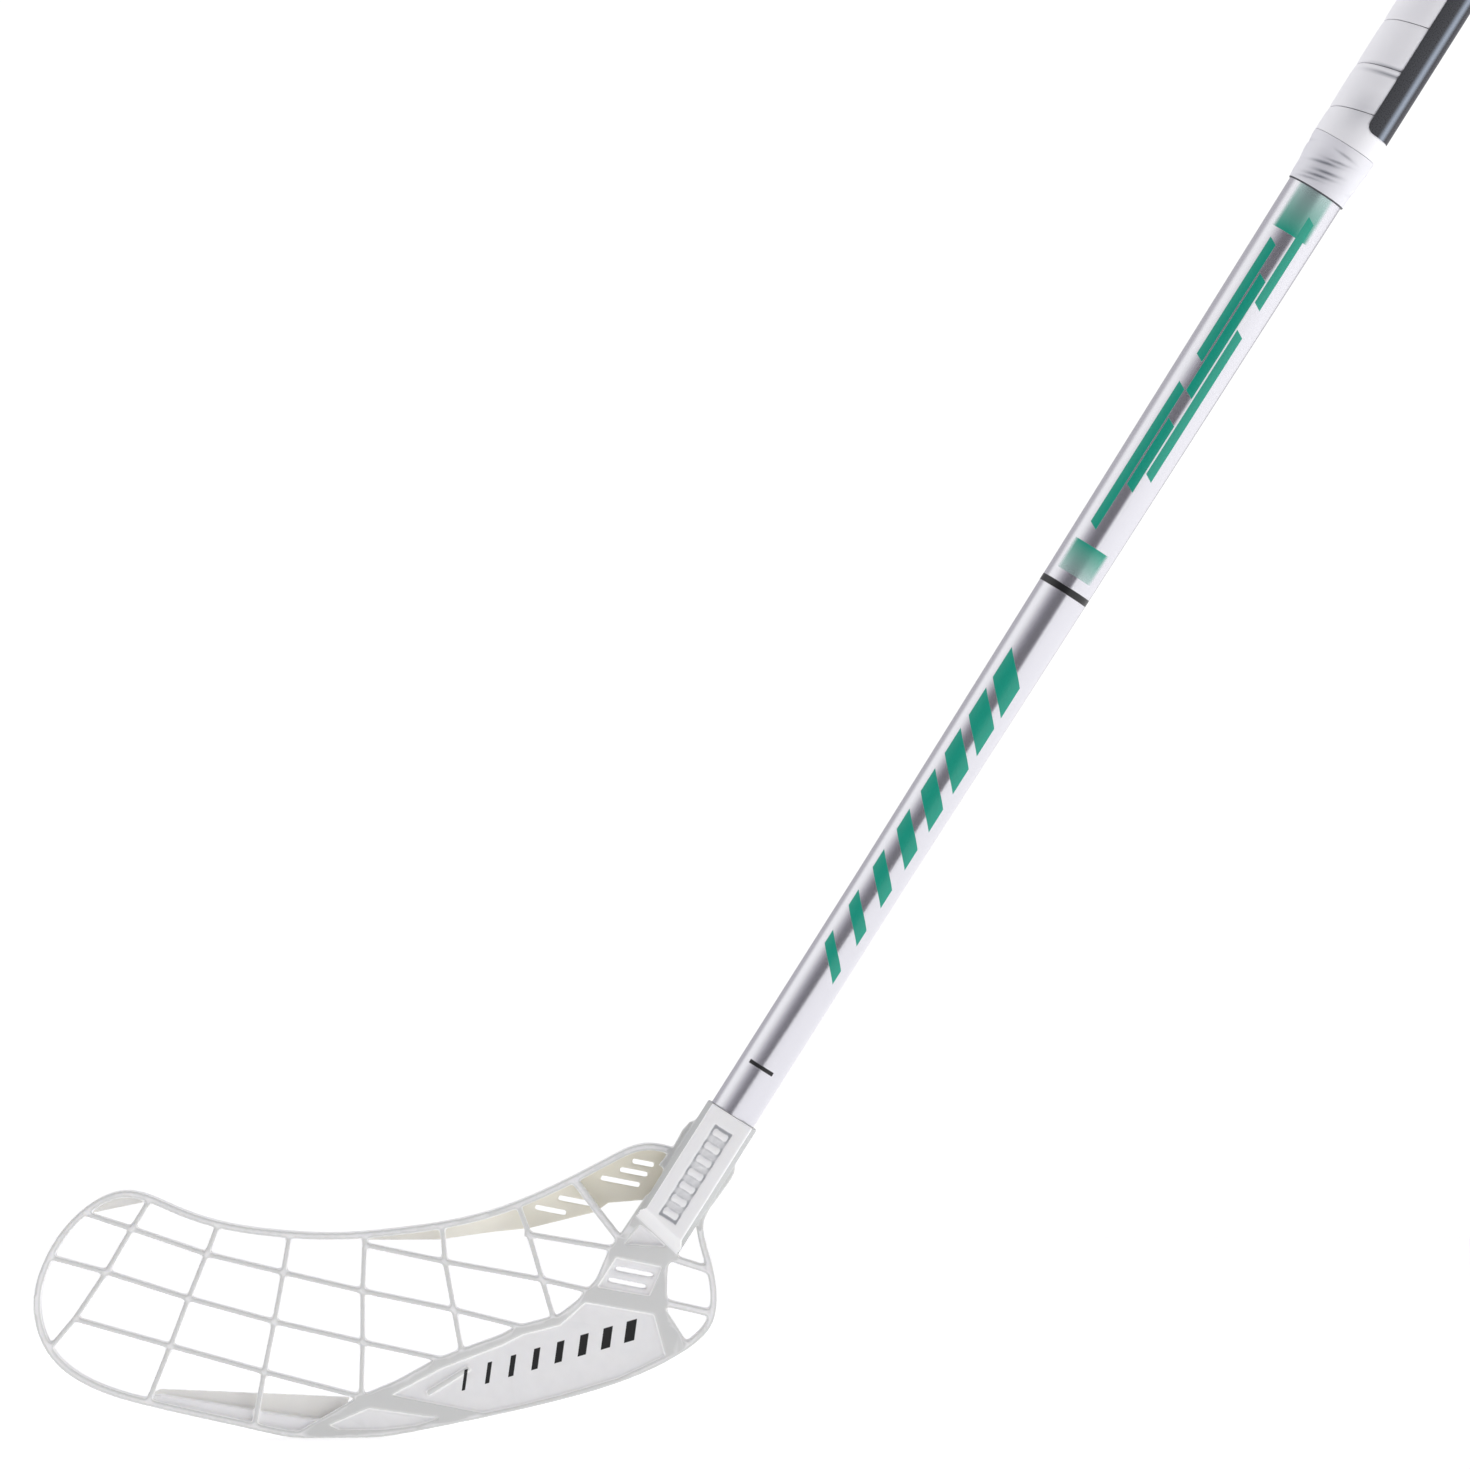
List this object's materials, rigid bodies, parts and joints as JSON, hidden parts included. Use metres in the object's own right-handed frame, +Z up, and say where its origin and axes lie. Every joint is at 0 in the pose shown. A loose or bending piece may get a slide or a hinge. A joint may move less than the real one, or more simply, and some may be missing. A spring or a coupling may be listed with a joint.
{
  "type": "floorball stick",
  "caption": "Floorball stick with a hooked lattice blade glued by its neck to a tapered tube shaft, with a wound grip and a butt plug.",
  "frame": {"origin": "on the flat of the sole, where the blade touches the floor in the playing pose", "axes": "+Z up, +X from toe to heel along the floor, +Y from the hitting face to the back of the blade; the shaft leans 32.3 degrees from +Z towards +X"},
  "size_m": [0.8017, 0.0412, 0.9186],
  "materials": {
    "blade_plastic": "satin moulded, slightly translucent",
    "hot_melt": "clear amber",
    "screw_steel": "zinc plated",
    "shaft_lacquer": "pearl lacquer over composite",
    "end_tape": "soft satin",
    "adhesive": "tacky",
    "grip_foam": "soft matte",
    "label_film": "gloss film",
    "plug_plastic": "satin moulded"
  },
  "bodies": {
    "root": {"blade": "blade_plastic", "blade_glue": "hot_melt", "neck_screw": "screw_steel", "shaft_tube": "shaft_lacquer", "grip_end_tape": "end_tape", "grip_adhesive": "adhesive", "grip_band": "grip_foam", "grip_label": "label_film", "butt_plug": "plug_plastic"}
  },
  "joints": []
}
